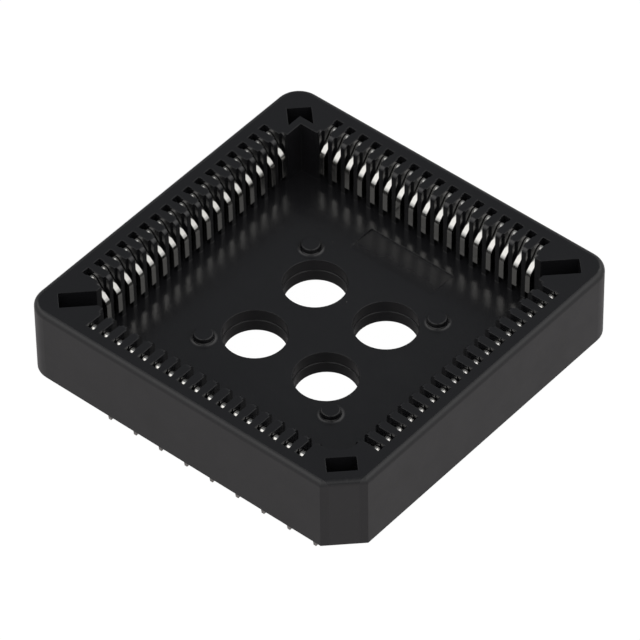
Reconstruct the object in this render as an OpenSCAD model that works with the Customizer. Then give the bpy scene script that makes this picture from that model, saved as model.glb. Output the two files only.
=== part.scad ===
// Chip carrier socket with 68 spring contacts, 17 a side, for a square leaded chip carrier.
// Z = 0 is the board plane under the stand-off pad, and the origin is the middle of the pad.
// Side 0 faces -Y, and the sides follow counter-clockwise seen from above.
// The index chamfer is the corner between side 0 and side 1, at +X and -Y.

/* [Housing] */
// Plastic between the slots' heads and the outer faces
outer_wall = 1.265; // [1.1:0.005:2.5]
// Height of the rim above the board
rim_z = 7.0; // [6.9:0.1:8.5]
// Height of the recessed underside above the board
underside_z = 0.35; // [0.2:0.05:0.4]
// Height of the cavity floor above the board
floor_z = 2.05; // [1.8:0.05:2.4]
// Radius of the rounded corners
corner_r = 2.0; // [1.6:0.1:2.3]
// Leg of the index chamfer
index_leg = 2.48; // [2.4:0.02:2.8]
// Radius along the top outer edge
rim_r = 0.45; // [0.2:0.05:0.6]
// Side of the stand-off pad under the floor
pad_side = 18.6; // [16:0.1:19]

/* [Chip cavity] */
// Half of the cavity's width between the ribs
cavity_half = 12.45; // [12.38:0.01:12.6]
// How far the corner blocks stand inside the ribs
block_step = 0.1; // [0.02:0.01:0.2]
// How far the walls at the index corner stand back from the ribs
index_step = 0.32; // [0.1:0.01:0.4]
// Width of the index corner's flat across the cavity corner
index_flat = 1.7; // [1:0.1:2.5]
// Radius on the top inner edge of the ribs
rib_r = 0.45; // [0.2:0.05:0.55]

/* [Contact slots] */
// Contacts on each side
contacts_a_side = 17; // [17]
// Distance between neighbouring contacts
pitch = 1.27; // [1.25:0.005:1.28]
// Width of the slot's mouth between two ribs
mouth_w = 0.86; // [0.7:0.02:0.96]
// Depth of the wide mouth behind the rib's face
mouth_depth = 0.45; // [0.3:0.05:0.7]
// Side clearance of a contact in its slot
slot_gap = 0.055; // [0.03:0.005:0.06]
// Distance from the ribs' faces back to the middle of the contacts' legs
leg_setback = 1.75; // [1.65:0.01:1.85]
// Thickness of the slot's head, from the cavity outwards
head_depth = 0.43; // [0.38:0.01:0.5]
// Gap between the leg's inner face and the head
leg_gap = 0.045; // [0.03:0.005:0.06]
// Side clearance of the barbs in the head
barb_gap = 0.03; // [0.02:0.005:0.04]
// Depth of the channels under the floor for the contacts' bases
channel_depth = 0.4; // [0.36:0.02:0.6]
// Plastic left between the slots' ends and the last ribs' outer faces
end_rib = 0.15; // [0.1:0.01:0.2]

/* [Contacts] */
// Thickness of the contact strip
strip_t = 0.2; // [0.16:0.01:0.24]
// Width of the contact strip
strip_w = 0.44; // [0.4:0.01:0.5]
// Height of the free end above the board
free_end_z = 3.1; // [2.8:0.1:3.6]
// Distance of the arm's inner face in front of the ribs
arm_reach = 0.29; // [0.2:0.01:0.4]
// How far the arm leans back between its free end and the knee
arm_lean = 0.035; // [0:0.005:0.06]
// Height of the knee, where the arm bends back
knee_z = 4.956; // [4.7:0.002:5.1]
// Middle radius of the knee's gentle bend
knee_r = 0.8; // [0.4:0.05:0.9]
// Distance from the knee to the second bend of the slope
slope_run = 1.095; // [0.9:0.005:1.3]
// Angle of the slope above its knee
slope_angle = 44.4; // [42:0.2:47]
// Distance from the crest's top down from the rim
crest_drop = 0.33; // [0.2:0.01:0.5]
// Outer radius of the crest
crest_r = 0.42; // [0.34:0.01:0.46]
// Inner radius of the strip's other bends
bend_r = 0.15; // [0.1:0.01:0.2]
// Width across the barbs that hold the leg in the slot's head
barb_w = 0.64; // [0.6:0.01:0.66]
// Height of the upper barbs' lower edges above the cavity floor
barb_z = 0.9; // [0.8:0.05:1.2]
// Height of a barb
barb_h = 0.6; // [0.4:0.05:0.7]
// Height of a barb's full width above its lower edge
barb_flat = 0.2; // [0.1:0.05:0.3]
// Distance from the upper barbs down to the lower ones
barb_drop = 0.9; // [0.8:0.05:1.1]

/* [Solder tails] */
// Distance between opposite outer rows of tails
outer_rows = 25.4; // [25.2:0.02:25.6]
// Distance between opposite inner rows of tails
inner_rows = 20.32; // [20.1:0.02:20.6]
// Length of the tails below the board plane
tail_length = 4.2; // [2.5:0.1:5]
// Width of the tails
tail_w = 0.42; // [0.34:0.01:0.44]
// Length of the tapered tip
tip_length = 0.5; // [0.2:0.05:0.8]
// Width of the tip's end
tip_w = 0.24; // [0.14:0.01:0.3]

/* [Floor] */
// Distance from the middle to each through hole, along X and along Y
hole_place = 3.5; // [3.2:0.1:3.8]
// Radius of the holes' upper part
hole_r = 2.55; // [2:0.05:2.7]
// Height of the step inside the holes
hole_step_z = 1.0; // [0.6:0.1:1.4]
// Width of the step inside the holes
hole_step = 0.07; // [0.03:0.01:0.15]
// Distance from the middle to each boss, along X and along Y
boss_place = 6.25; // [6.0:0.05:7]
// Radius of a boss
boss_r = 0.75; // [0.5:0.05:0.9]
// Height of a boss above the floor, which carries the chip
boss_h = 0.5; // [0.3:0.05:0.8]
// Radius on the boss's top edge, and size of the flare at its foot
boss_round = 0.08; // [0.04:0.01:0.12]
// Length of the ramp recess along the wall of side 2
ramp_length = 8.05; // [5:0.05:12]
// Distance from the middle to the ramp's shallow edge
ramp_start = 8.2; // [7.9:0.1:9]
// Width of the ramp across the floor
ramp_w = 2.65; // [1.5:0.05:2.8]
// Depth of the ramp at its deep edge
ramp_depth = 0.16; // [0.1:0.02:0.4]

/* [Corners] */
// Width of the two diagonal extraction slots
pry_w = 1.55; // [1.2:0.05:1.8]
// How far the extraction slots reach beyond the cavity's corners, along the diagonal
pry_reach = 2.13; // [1.9:0.01:2.3]
// Depth of the two corner pockets below the rim
pocket_depth = 4.0; // [2:0.1:4.5]
// Width of the pocket beside the index chamfer
index_pocket_w = 2.28; // [1.6:0.02:2.4]
// Length of the index pocket, along the diagonal
index_pocket_length = 1.43; // [1.1:0.01:1.6]
// Web between the index pocket and the flat across the cavity corner
index_web = 0.79; // [0.6:0.01:0.9]
// Width of the pocket in the corner opposite the index chamfer
back_pocket_w = 1.92; // [1.6:0.02:2.2]
// How far the back pocket reaches beyond the cavity's corner, along the diagonal
back_pocket_reach = 1.81; // [1.5:0.01:2.2]
// Web between the back pocket and the cavity
back_web = 0.6; // [0.45:0.05:0.7]

/* [Hidden] */
pairs = contacts_a_side * 2;
contact_count = contacts_a_side * 4;
$fn = 48;
past = 1;
housing_colour = [0.13, 0.13, 0.14];
contact_colour = [0.78, 0.78, 0.76];

block_half = cavity_half - block_step;
index_half = cavity_half + index_step;
mid_place = (contacts_a_side - 1) / 2;
row_half = mid_place * pitch + mouth_w / 2 + end_rib;
slot_w = strip_w + 2 * slot_gap;
leg_r = cavity_half + leg_setback;
head_in = leg_r - strip_t / 2 - leg_gap;
head_w = barb_w + 2 * barb_gap;
half = head_in + head_depth + outer_wall;
block_corner = block_half * sqrt(2);
index_pocket_start = index_half * sqrt(2) - index_flat / 2 + index_web;
arm_r = cavity_half - arm_reach + strip_t / 2;
middle_r = bend_r + strip_t / 2;
second_bend_r = 4 * middle_r;
crest_middle_r = crest_r - strip_t / 2;
base_z = underside_z + channel_depth / 2 - slot_gap;
bend_steps = 6;

// Name of a node with two neighbouring contacts, such as contacts_01_02
function contacts_name(i) = str("contacts_", two_digits(2 * i + 1), "_", two_digits(2 * i + 2));
function two_digits(n) = n < 10 ? str("0", n) : str(n);

// Direction and its left-hand normal, for walking along the strip
function unit(v) = v / norm(v);
function left(v) = [-v.y, v.x];

// Edge points of one bend at corner i of path p, on the strip's left (1) or right (-1) edge
function bend(p, i, edge) =
    let (
        before = unit(corner(p, i) - corner(p, i - 1)),
        after = unit(corner(p, i + 1) - corner(p, i)),
        turn = sign(cross(before, after)),
        swing = acos(before * after),
        middle = corner(p, i) - before * p[i][2] * tan(swing / 2) + left(before) * turn * p[i][2],
        start = -left(before) * turn,
        radius = p[i][2] - edge * turn * strip_t / 2
    )
    [for (k = [0 : bend_steps])
        let (a = turn * swing * k / bend_steps)
        middle + radius * [start.x * cos(a) - start.y * sin(a), start.x * sin(a) + start.y * cos(a)]];
function corner(p, i) = [p[i][0], p[i][1]];

// One edge of the strip along the whole path
function strip_edge(p, edge) =
    let (
        last = len(p) - 1,
        first_way = unit(corner(p, 1) - corner(p, 0)),
        last_way = unit(corner(p, last) - corner(p, last - 1))
    )
    concat(
        [corner(p, 0) + left(first_way) * edge * strip_t / 2],
        [for (i = [1 : last - 1]) each bend(p, i, edge)],
        [corner(p, last) + left(last_way) * edge * strip_t / 2]
    );
function reversed(list) = [for (i = [len(list) - 1 : -1 : 0]) list[i]];

// Angle of the upper slope, which meets the crest's arc
knee = [arm_r + arm_lean, knee_z];
second_bend = knee + slope_run * [cos(slope_angle), sin(slope_angle)];
crest_middle = [leg_r - crest_middle_r, rim_z - crest_drop - crest_r];
to_crest = crest_middle - second_bend;
upper_angle = atan2(to_crest.y, to_crest.x) + asin(crest_middle_r / norm(to_crest));
crest_corner = [leg_r, second_bend.y + (leg_r - second_bend.x) * tan(upper_angle)];

// Corners of the strip's middle line from free end to tail, each with its bend radius
function contact_path(tail_r) = [
    [arm_r, free_end_z, 0],
    [knee.x, knee.y, knee_r],
    [second_bend.x, second_bend.y, second_bend_r],
    [crest_corner.x, crest_corner.y, crest_middle_r],
    [leg_r, base_z, middle_r],
    [tail_r, base_z, middle_r],
    [tail_r, 0, 0]
];

// Turns a drawing of distance and height into the upright plane of a contact on side 0
module upright(width) {
    rotate([90, 0, -90]) linear_extrude(height = width, center = true) children();
}

// One bent strip with its barbs and its tapered tail, on side 0 at the middle of the row
module contact(tail_r) {
    upright(strip_w) {
        path = contact_path(tail_r);
        polygon(concat(strip_edge(path, 1), reversed(strip_edge(path, -1))));
    }
    barb_plan = [
        [0, barb_h],
        [strip_w / 2, barb_h],
        [barb_w / 2, barb_flat],
        [barb_w / 2, 0],
        [0, 0]
    ];
    for (flip = [0, 1], drop = [0, barb_drop])
        mirror([flip, 0, 0])
            translate([0, strip_t / 2 - leg_r, floor_z + barb_z - drop])
                rotate([90, 0, 0])
                    linear_extrude(height = strip_t) polygon(barb_plan);
    tail_plan = [
        [tail_w / 2, 0],
        [tail_w / 2, tip_length - tail_length],
        [tip_w / 2, -tail_length],
        [-tip_w / 2, -tail_length],
        [-tail_w / 2, tip_length - tail_length],
        [-tail_w / 2, 0]
    ];
    translate([0, strip_t / 2 - tail_r, 0])
        rotate([90, 0, 0])
            linear_extrude(height = strip_t) polygon(tail_plan);
}

// Contact number n, from 0 at the middle of side 0, counted counter-clockwise
module placed_contact(n) {
    place = (n + mid_place) % contact_count;
    side = floor(place / contacts_a_side);
    along = place % contacts_a_side;
    rotate([0, 0, 90 * side])
        translate([(along - mid_place) * pitch, 0, 0])
            contact(along % 2 == 0 ? outer_rows / 2 : inner_rows / 2);
}

// Two neighbouring contacts, as they share one node
module contact_pair(i) {
    color(contact_colour) {
        placed_contact(2 * i);
        placed_contact(2 * i + 1);
    }
}

// Outline of the housing: a square with round corners and the index chamfer
module body_outline() {
    difference() {
        union() {
            square([2 * half, 2 * (half - corner_r)], center = true);
            square([2 * (half - corner_r), 2 * half], center = true);
            for (x = [-1, 1], y = [-1, 1])
                translate([x, y] * (half - corner_r)) circle(r = corner_r);
        }
        polygon([[half - index_leg, -half], [half, index_leg - half], [half + past, index_leg - half],
            [half + past, -half - past], [half - index_leg, -half - past]]);
    }
}

// Square bar with a round valley, which leaves a rounded edge where it cuts
module edge_profile(r) {
    difference() {
        translate([-r, -r]) square(r + past);
        translate([-r, -r]) circle(r = r);
    }
}

// Cutter that rounds the top outer edge
module rim_edge() {
    straight = half - corner_r;
    for (side = [0 : 3])
        rotate([0, 0, 90 * side]) {
            start = side == 1 ? half + past : straight;
            end = side == 0 ? half + past : straight;
            translate([-start, -half, rim_z])
                rotate([90, 0, 90])
                    mirror([1, 0])
                        linear_extrude(height = start + end) edge_profile(rim_r);
        }
    for (turn = [90, 180, 270])
        rotate([0, 0, turn])
            translate([straight, -straight, rim_z])
                rotate([0, 0, -90])
                    rotate_extrude(angle = 90) translate([corner_r, 0]) edge_profile(rim_r);
    chamfer_middle = half - index_leg / 2;
    translate([chamfer_middle, -chamfer_middle, rim_z])
        rotate([90, 0, 135])
            linear_extrude(height = index_leg * 2, center = true)
                mirror([1, 0]) edge_profile(rim_r);
}

// Plan of the cavity: between the ribs, the corner blocks and the index corner
module cavity_outline() {
    square(2 * block_half, center = true);
    for (turn = [0, 90])
        rotate(turn) square([2 * row_half, 2 * cavity_half], center = true);
    polygon([[row_half, -row_half], [row_half, -index_half],
        [index_half - index_flat / sqrt(2), -index_half],
        [index_half, index_flat / sqrt(2) - index_half], [index_half, -row_half]]);
}

// Plan of one slot on side 0: a wide mouth and a narrow channel that ends in the head
module slot_outline() {
    mouth_end = -cavity_half - mouth_depth;
    half_plan = [
        [mouth_w / 2, past - cavity_half],
        [mouth_w / 2, mouth_end],
        [slot_w / 2, mouth_end],
        [slot_w / 2, -leg_r]
    ];
    polygon(concat(half_plan, reversed([for (p = half_plan) [-p.x, p.y]])));
}

// Plan of the slot's head, which runs through the whole height
module head_outline() {
    translate([-head_w / 2, -head_in - head_depth]) square([head_w, head_depth]);
}

// Plan of the channel under the floor, from the tail to the head
module channel_outline(tail_r) {
    inner = tail_r - strip_t;
    translate([-slot_w / 2, -leg_r]) square([slot_w, leg_r - inner]);
}

// Puts its child at every contact place; the children are for outer and for inner tails
module at_contacts() {
    for (side = [0 : 3], along = [0 : contacts_a_side - 1])
        rotate(90 * side)
            translate([(along - mid_place) * pitch, 0]) children(along % 2);
}

// Plan of a pocket or slot that lies along the diagonal of the corner between side 0 and side 1
module diagonal_outline(start, end, width) {
    rotate(-45) translate([start, -width / 2]) square([end - start, width]);
}

// Chip cavity and the two extraction slots, down to the floor
module cavity() {
    translate([0, 0, floor_z])
        linear_extrude(height = rim_z) {
            cavity_outline();
            for (turn = [90, 270])
                rotate(turn) diagonal_outline(0, block_corner + pry_reach, pry_w);
        }
}

// Cutters that round the top inner edges of the ribs
module rib_edges() {
    for (side = [0 : 3])
        rotate([0, 0, 90 * side])
            translate([-row_half, -cavity_half, rim_z])
                rotate([90, 0, 90])
                    linear_extrude(height = 2 * row_half) edge_profile(rib_r);
}

// Slots between the ribs, down to the floor
module slots() {
    translate([0, 0, floor_z])
        linear_extrude(height = rim_z)
            at_contacts() {
                slot_outline();
                slot_outline();
            }
}

// Heads of the slots, right through the housing
module heads() {
    translate([0, 0, -past])
        linear_extrude(height = rim_z + 2 * past)
            at_contacts() {
                head_outline();
                head_outline();
            }
}

// Channels under the floor for the contacts' bases
module channels() {
    translate([0, 0, underside_z - past])
        linear_extrude(height = channel_depth + past)
            at_contacts() {
                channel_outline(outer_rows / 2);
                channel_outline(inner_rows / 2);
            }
}

// Blind pockets that core out the index corner and the corner opposite
module corner_pockets() {
    translate([0, 0, rim_z - pocket_depth])
        linear_extrude(height = pocket_depth + past) {
            diagonal_outline(index_pocket_start, index_pocket_start + index_pocket_length,
                index_pocket_w);
            rotate(180)
                difference() {
                    diagonal_outline(block_half, block_corner + back_pocket_reach, back_pocket_w);
                    square(2 * (block_half + back_web), center = true);
                }
        }
}

// Round holes through the floor, each with a small step
module floor_holes() {
    for (x = [-1, 1], y = [-1, 1])
        translate([x * hole_place, y * hole_place, 0]) {
            translate([0, 0, -past]) cylinder(r = hole_r - hole_step, h = floor_z + 2 * past);
            translate([0, 0, hole_step_z]) cylinder(r = hole_r, h = floor_z);
        }
}

// Shallow ramp in the floor in front of side 2
module ramp_recess() {
    rotate([90, 0, 90])
        linear_extrude(height = ramp_length, center = true)
            polygon([[ramp_start, floor_z], [ramp_start + ramp_w, floor_z - ramp_depth],
                [ramp_start + ramp_w, floor_z + past], [ramp_start, floor_z + past]]);
}

// Round boss that carries the chip, with a rounded top edge and a flared foot
module boss() {
    root = floor_z / 2;
    translate([0, 0, floor_z])
        rotate_extrude() {
            translate([0, -root]) square([boss_r, boss_h + root - boss_round]);
            translate([0, -root]) square([boss_r - boss_round, boss_h + root]);
            translate([boss_r - boss_round, boss_h - boss_round]) circle(r = boss_round);
            polygon([[0, boss_round], [boss_r, boss_round], [boss_r + 2 * boss_round, -boss_round],
                [0, -boss_round]]);
        }
}

// Outer form of the housing, before anything is cut into its top
module blank() {
    difference() {
        translate([0, 0, underside_z])
            linear_extrude(height = rim_z - underside_z) body_outline();
        rim_edge();
    }
    linear_extrude(height = floor_z) square(pad_side, center = true);
}

// One-piece moulded housing
module housing() {
    color(housing_colour) {
        difference() {
            union() {
                difference() {
                    blank();
                    cavity();
                    ramp_recess();
                }
                for (x = [-1, 1], y = [-1, 1])
                    translate([x * boss_place, y * boss_place, 0]) boss();
            }
            rib_edges();
            slots();
            heads();
            channels();
            corner_pockets();
            floor_holes();
        }
    }
}

housing();
for (i = [0 : pairs - 1])
    contact_pair(i);
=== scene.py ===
import math

import bpy
from mathutils import Matrix, Vector


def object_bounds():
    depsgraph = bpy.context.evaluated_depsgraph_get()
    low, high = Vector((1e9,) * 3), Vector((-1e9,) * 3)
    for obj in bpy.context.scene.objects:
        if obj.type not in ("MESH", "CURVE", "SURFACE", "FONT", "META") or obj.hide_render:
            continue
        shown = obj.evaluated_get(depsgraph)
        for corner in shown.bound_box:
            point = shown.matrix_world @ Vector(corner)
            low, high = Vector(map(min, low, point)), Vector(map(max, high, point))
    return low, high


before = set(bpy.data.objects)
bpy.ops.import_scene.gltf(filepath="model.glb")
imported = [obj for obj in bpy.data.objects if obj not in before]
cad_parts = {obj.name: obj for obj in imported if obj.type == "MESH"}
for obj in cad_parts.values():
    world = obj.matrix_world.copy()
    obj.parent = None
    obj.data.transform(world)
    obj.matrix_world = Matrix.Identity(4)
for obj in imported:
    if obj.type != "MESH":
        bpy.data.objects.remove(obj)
cad_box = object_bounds()

# ---------------------------------------------------------------------------
# Camera. A long lens looks down at the index corner from about 45 degrees, so
# that the chip cavity and two rows of contacts are in full view.
# ---------------------------------------------------------------------------
mm = 0.001
camera_place = Vector((207.32, -240.63, 322.84)) * mm
camera_aim = Vector((-2.03, 2.30, 0)) * mm
camera_roll = math.radians(-0.82)

camera_data = bpy.data.cameras.new("camera")
camera_data.sensor_width = 36
camera_data.lens = 336.8
camera_data.clip_start = 50 * mm
camera_data.clip_end = 10
camera = bpy.data.objects.new("camera", camera_data)
camera.matrix_world = (
    Matrix.Translation(camera_place)
    @ (camera_aim - camera_place).to_track_quat("-Z", "Y").to_matrix().to_4x4()
    @ Matrix.Rotation(camera_roll, 4, "Z")
)
bpy.context.scene.collection.objects.link(camera)
bpy.context.scene.camera = camera
bpy.context.scene.view_settings.view_transform = "Standard"

# ---------------------------------------------------------------------------
# Housing. One moulding of black glass-filled thermoplastic. The tool's faces
# leave it glossy in the cavity and satin on the outer walls, with fine specks.
# ---------------------------------------------------------------------------


class Value:
    """A shader socket that can be used in Python sums."""

    def __init__(self, finish, socket):
        self.finish = finish
        self.socket = socket

    def math(self, operation, *others, clamp=False):
        """A Math node on this value and the others, in that order."""
        settings = {"operation": operation, "use_clamp": clamp}
        return self.finish.node("ShaderNodeMath", settings, dict(enumerate((self, *others))))

    def __add__(self, other):
        return self.math("ADD", other)

    def __radd__(self, other):
        return self.math("ADD", other)

    def __sub__(self, other):
        return self.math("SUBTRACT", other)

    def __rsub__(self, other):
        return (self * -1).math("ADD", other)

    def __mul__(self, other):
        return self.math("MULTIPLY", other)

    def __rmul__(self, other):
        return self.math("MULTIPLY", other)

    def __gt__(self, other):
        return self.math("GREATER_THAN", other)

    def __lt__(self, other):
        return self.math("LESS_THAN", other)

    def size(self):
        """The same value without its sign."""
        return self.math("ABSOLUTE")

    def clamped(self):
        """The same value, kept between 0 and 1."""
        return self.math("ADD", 0.0, clamp=True)


class Finish:
    """The node tree of one finish, on a material or on the world."""

    def __init__(self, owner):
        owner.use_nodes = True
        self.tree = owner.node_tree
        self.tree.nodes.clear()

    def node(self, kind, settings={}, sockets={}, out=0):
        """A node with its settings made first and its sockets set or linked."""
        node = self.tree.nodes.new(kind)
        for name, value in settings.items():
            setattr(node, name, value)
        for name, value in sockets.items():
            if isinstance(value, Value):
                self.tree.links.new(value.socket, node.inputs[name])
            else:
                node.inputs[name].default_value = value
        return Value(self, node.outputs[out]) if len(node.outputs) else node

    def parts(self, vector):
        """The X, Y and Z of a vector, as three values."""
        return [self.node("ShaderNodeSeparateXYZ", {}, {0: vector}, out=axis) for axis in "XYZ"]


half_side = cad_box[1][0]
rim_radius = 0.45 * mm
floor_below, floor_above = 1.8 * mm, 2.1 * mm
moulded_black = (0.0105, 0.0105, 0.0118, 1)
filler_grey = (0.06, 0.058, 0.055, 1)

housing_finish = bpy.data.materials.new("black_plastic")
plastic = Finish(housing_finish)
place = plastic.node("ShaderNodeTexCoord", out="Object")
east, north, height = plastic.parts(place)
outside = east.size().math("MAXIMUM", north.size()) > half_side - rim_radius
cavity_floor = (height < floor_above) * (height > floor_below) * (1 - outside)

# The ramp recess beside the back wall is duller towards its deep edge.
ramp_start, ramp_end = 8.2 * mm, 10.84 * mm
ramp_fade = 2.5 * mm
ramp_half = 4.02 * mm
ramp_top = 2.045 * mm
ramp = (height < ramp_top) * (height > floor_below) * (north < ramp_end)
ramp = ramp * ((north - ramp_start) * (1 / ramp_fade)).clamped() * (east.size() < ramp_half)

# The surface: moulding grain, cloudy patches of gloss, low ripples in the
# cavity and a few pale specks of filler.
grain = plastic.node("ShaderNodeTexNoise", {}, {
    "Vector": place, "Scale": 2600.0, "Detail": 3.0,
})
cloud = plastic.node("ShaderNodeTexNoise", {}, {
    "Vector": place, "Scale": 260.0, "Detail": 6.0, "Roughness": 0.7,
})
ripple = plastic.node("ShaderNodeTexNoise", {}, {
    "Vector": place, "Scale": 1500.0, "Detail": 2.0,
})
speck_cell = plastic.node("ShaderNodeTexVoronoi", {}, {"Vector": place, "Scale": 420.0})
speck_rare = plastic.node("ShaderNodeTexNoise", {}, {
    "Vector": place, "Scale": 300.0, "Detail": 1.0,
})
speck_size = 0.02
speck_share = 0.55
speck = (speck_cell < speck_size) * (speck_rare > speck_share)

polish = 0.07
cloud_haze, wall_haze, floor_haze = 0.2, 0.26, 0.05
ramp_haze, speck_haze = 0.14, 0.3
roughness = (
    polish + cloud * cloud_haze + outside * wall_haze + cavity_floor * floor_haze
    + ramp * ramp_haze + speck * speck_haze
)

# A soft fillet runs round the foot of each of the four bosses.
boss_place = 6.25 * mm
fillet_start, fillet_end = 0.8 * mm, 1.13 * mm
fillet_width = mm / 3
fillet_height = 0.10 * mm
foot_below, foot_above = 2.0 * mm, 2.2 * mm
from_boss_east = east.size() - boss_place
from_boss_north = north.size() - boss_place
from_boss = (from_boss_east * from_boss_east + from_boss_north * from_boss_north).math("SQRT")
fillet = ((fillet_end - from_boss) * (1 / fillet_width)).clamped()
fillet = fillet * fillet * (from_boss > fillet_start)
fillet = fillet * (height < foot_above) * (height > foot_below)

edge_radius = 0.09 * mm
relief_height = 0.02 * mm
grain_share, ripple_share = 0.7, 6.0
edge = plastic.node("ShaderNodeBevel", {"samples": 4}, {"Radius": edge_radius})
edge = plastic.node("ShaderNodeBump", {}, {
    "Strength": 1.0, "Distance": fillet_height, "Height": fillet, "Normal": edge,
})
relief = plastic.node("ShaderNodeBump", {}, {
    "Strength": 0.12,
    "Distance": relief_height,
    "Height": grain * grain_share + ripple * ripple_share * (1 - outside),
    "Normal": edge,
})
tone = plastic.node("ShaderNodeMix", {"data_type": "RGBA"}, {
    "Factor": speck, "A": moulded_black, "B": filler_grey,
}, out="Result")
surface = plastic.node("ShaderNodeBsdfPrincipled", {}, {
    "Base Color": tone,
    "Roughness": roughness.clamped(),
    "IOR": 1.52,
    "Normal": relief,
})
plastic.node("ShaderNodeOutputMaterial", {}, {"Surface": surface})

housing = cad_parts["housing"]
housing.data.materials.clear()
housing.data.materials.append(housing_finish)

# ---------------------------------------------------------------------------
# Contacts. Strips of phosphor bronze, stamped, bent and plated with bright
# tin, and pressed from below into the slots of the housing by their barbs.
# ---------------------------------------------------------------------------
crest_start = 6.0 * mm
crest_rise = 0.4 * mm
sheared_edge = 0.05 * mm
plating_relief = 0.02 * mm
bright_tin = (0.76, 0.75, 0.72, 1)
tin_polish, mottle_haze, rubbed_haze = 0.07, 0.12, 0.06

contact_finish = bpy.data.materials.new("tin_plate")
tin = Finish(contact_finish)
place = tin.node("ShaderNodeTexCoord", out="Object")
mottle = tin.node("ShaderNodeTexNoise", {}, {"Vector": place, "Scale": 900.0, "Detail": 4.0})
edge = tin.node("ShaderNodeBevel", {"samples": 4}, {"Radius": sheared_edge})
relief = tin.node("ShaderNodeBump", {}, {
    "Strength": 0.15, "Distance": plating_relief, "Height": mottle, "Normal": edge,
})
height = tin.parts(place)[2]
rubbed = ((height - crest_start) * (1 / crest_rise)).clamped()
surface = tin.node("ShaderNodeBsdfPrincipled", {}, {
    "Base Color": bright_tin,
    "Metallic": 1.0,
    "Roughness": (tin_polish + mottle * mottle_haze + rubbed * rubbed_haze).clamped(),
    "Normal": relief,
})
tin.node("ShaderNodeOutputMaterial", {}, {"Surface": surface})

for name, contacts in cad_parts.items():
    if name.startswith("contacts_"):
        contacts.data.materials.clear()
        contacts.data.materials.append(contact_finish)

# ---------------------------------------------------------------------------
# Studio. The socket stands on its tails on a white floor, in a white tent with
# two bright sides and a dim top. None of this is part of the object.
# ---------------------------------------------------------------------------
floor_reach = 1.5
floor_level = cad_box[0][2]
floor_mesh = bpy.data.meshes.new("studio_floor")
floor_mesh.from_pydata(
    [
        (-floor_reach, -floor_reach, floor_level),
        (floor_reach, -floor_reach, floor_level),
        (floor_reach, floor_reach, floor_level),
        (-floor_reach, floor_reach, floor_level),
    ],
    [],
    [(0, 1, 2, 3)],
)
floor = bpy.data.objects.new("studio_floor", floor_mesh)
bpy.context.scene.collection.objects.link(floor)

# The floor is white to the camera, with a trace of the socket's shadow. To the object it is
# grey paper.
# Glossy faces see it glow lighter beyond the housing, so their reflections carry a painted
# shade under the socket.
painted_shade_half = 15.0 * mm
camera_share, gloss_share, beyond_shade_share = 0.95, 0.06, 0.22
paper_grey = (0.44, 0.41, 0.42, 1)
floor_finish = bpy.data.materials.new("studio_white")
white = Finish(floor_finish)
seen = white.node("ShaderNodeLightPath", out="Is Camera Ray")
mirrored = white.node("ShaderNodeLightPath", out="Is Glossy Ray")
spot_east, spot_north, _ = white.parts(white.node("ShaderNodeTexCoord", out="Object"))
# Only outside this square does the floor glow more to glossy rays; the square under the socket
# is painted shade in reflections.
beyond_painted_shade = spot_east.size().math("MAXIMUM", spot_north.size()) > painted_shade_half
glowing = (seen * camera_share + mirrored * (gloss_share + beyond_painted_shade * beyond_shade_share)).clamped()
paper = white.node("ShaderNodeBsdfDiffuse", {}, {"Color": paper_grey})
glow = white.node("ShaderNodeEmission", {}, {"Color": (1, 1, 1, 1), "Strength": 1.05})
surface = white.node("ShaderNodeMixShader", {}, {0: glowing, 1: paper, 2: glow})
white.node("ShaderNodeOutputMaterial", {}, {"Surface": surface})
floor_mesh.materials.append(floor_finish)

# The tent's two bright sides fade into the dim room to the left and right,
# and towards the floor.
left_side = (-0.523, -0.852, 0.0)
right_side = (0.817, 0.577, 0.0)

world = bpy.data.worlds.new("studio")
bpy.context.scene.world = world
tent = Finish(world)
seen = tent.node("ShaderNodeLightPath", out="Is Camera Ray")
direction = tent.node("ShaderNodeTexCoord", out="Generated")
left_screen, right_screen = (
    tent.node("ShaderNodeVectorMath", {"operation": "DOT_PRODUCT"}, {
        0: direction, 1: side,
    }, out="Value")
    for side in (left_side, right_side)
)
lit = tent.node("ShaderNodeMapRange", {"interpolation_type": "SMOOTHSTEP"}, {
    "Value": left_screen.math("MAXIMUM", right_screen),
    "From Min": 0.0, "From Max": 0.42, "To Min": 0.0, "To Max": 1.0,
})
raised = tent.node("ShaderNodeMapRange", {"interpolation_type": "SMOOTHSTEP"}, {
    "Value": tent.parts(direction)[2],
    "From Min": 0.3, "From Max": 0.7, "To Min": 0.3, "To Max": 1.0,
})
backdrop = tent.node("ShaderNodeBackground", {}, {"Color": (1, 1, 1, 1), "Strength": 1.0})
room = tent.node("ShaderNodeBackground", {}, {"Color": (0.92, 0.96, 1, 1), "Strength": 0.18})
screens = tent.node("ShaderNodeBackground", {}, {"Color": (1, 0.99, 0.98, 1), "Strength": 1.3})
around = tent.node("ShaderNodeMixShader", {}, {0: lit * raised, 1: room, 2: screens})
surface = tent.node("ShaderNodeMixShader", {}, {0: seen, 1: around, 2: backdrop})
tent.node("ShaderNodeOutputWorld", {}, {"Surface": surface})
